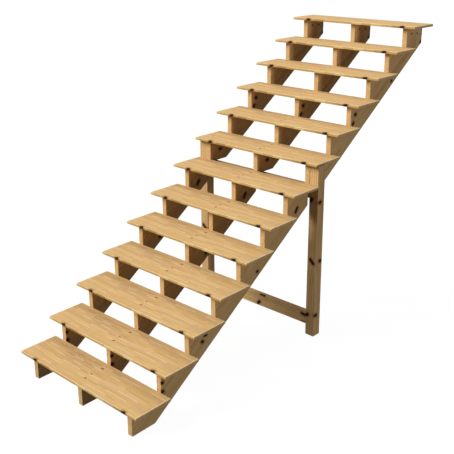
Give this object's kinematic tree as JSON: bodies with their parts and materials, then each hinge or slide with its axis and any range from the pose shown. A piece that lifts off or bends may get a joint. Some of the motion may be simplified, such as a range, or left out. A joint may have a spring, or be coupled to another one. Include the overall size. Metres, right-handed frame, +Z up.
{
  "type": "outdoor staircase",
  "caption": "Straight open-riser timber stair: board treads on three saw-tooth stringers in two lengths, with square mid posts joined by a low rail.",
  "frame": {"origin": "on the ground, under the middle of the stair's width and depth", "axes": "+X along the treads, +Y the way the stair climbs, +Z up"},
  "size_m": [1.2, 3.29, 2.23],
  "materials": {
    "tread_wood": "oiled laminated pine",
    "stringer_wood": "oiled planed pine",
    "post_wood": "oiled planed pine",
    "board_wood": "oiled planed pine"
  },
  "bodies": {
    "root": {"tread_01": "tread_wood", "tread_02": "tread_wood", "tread_03": "tread_wood", "tread_04": "tread_wood", "tread_05": "tread_wood", "tread_06": "tread_wood", "tread_07": "tread_wood", "tread_08": "tread_wood", "tread_09": "tread_wood", "tread_10": "tread_wood", "tread_11": "tread_wood", "tread_12": "tread_wood", "tread_13": "tread_wood", "lower_stringer_left": "stringer_wood", "lower_stringer_middle": "stringer_wood", "lower_stringer_right": "stringer_wood", "upper_stringer_left": "stringer_wood", "upper_stringer_middle": "stringer_wood", "upper_stringer_right": "stringer_wood", "post_left": "post_wood", "post_right": "post_wood", "cross_rail": "board_wood", "bearer": "board_wood"}
  },
  "joints": []
}
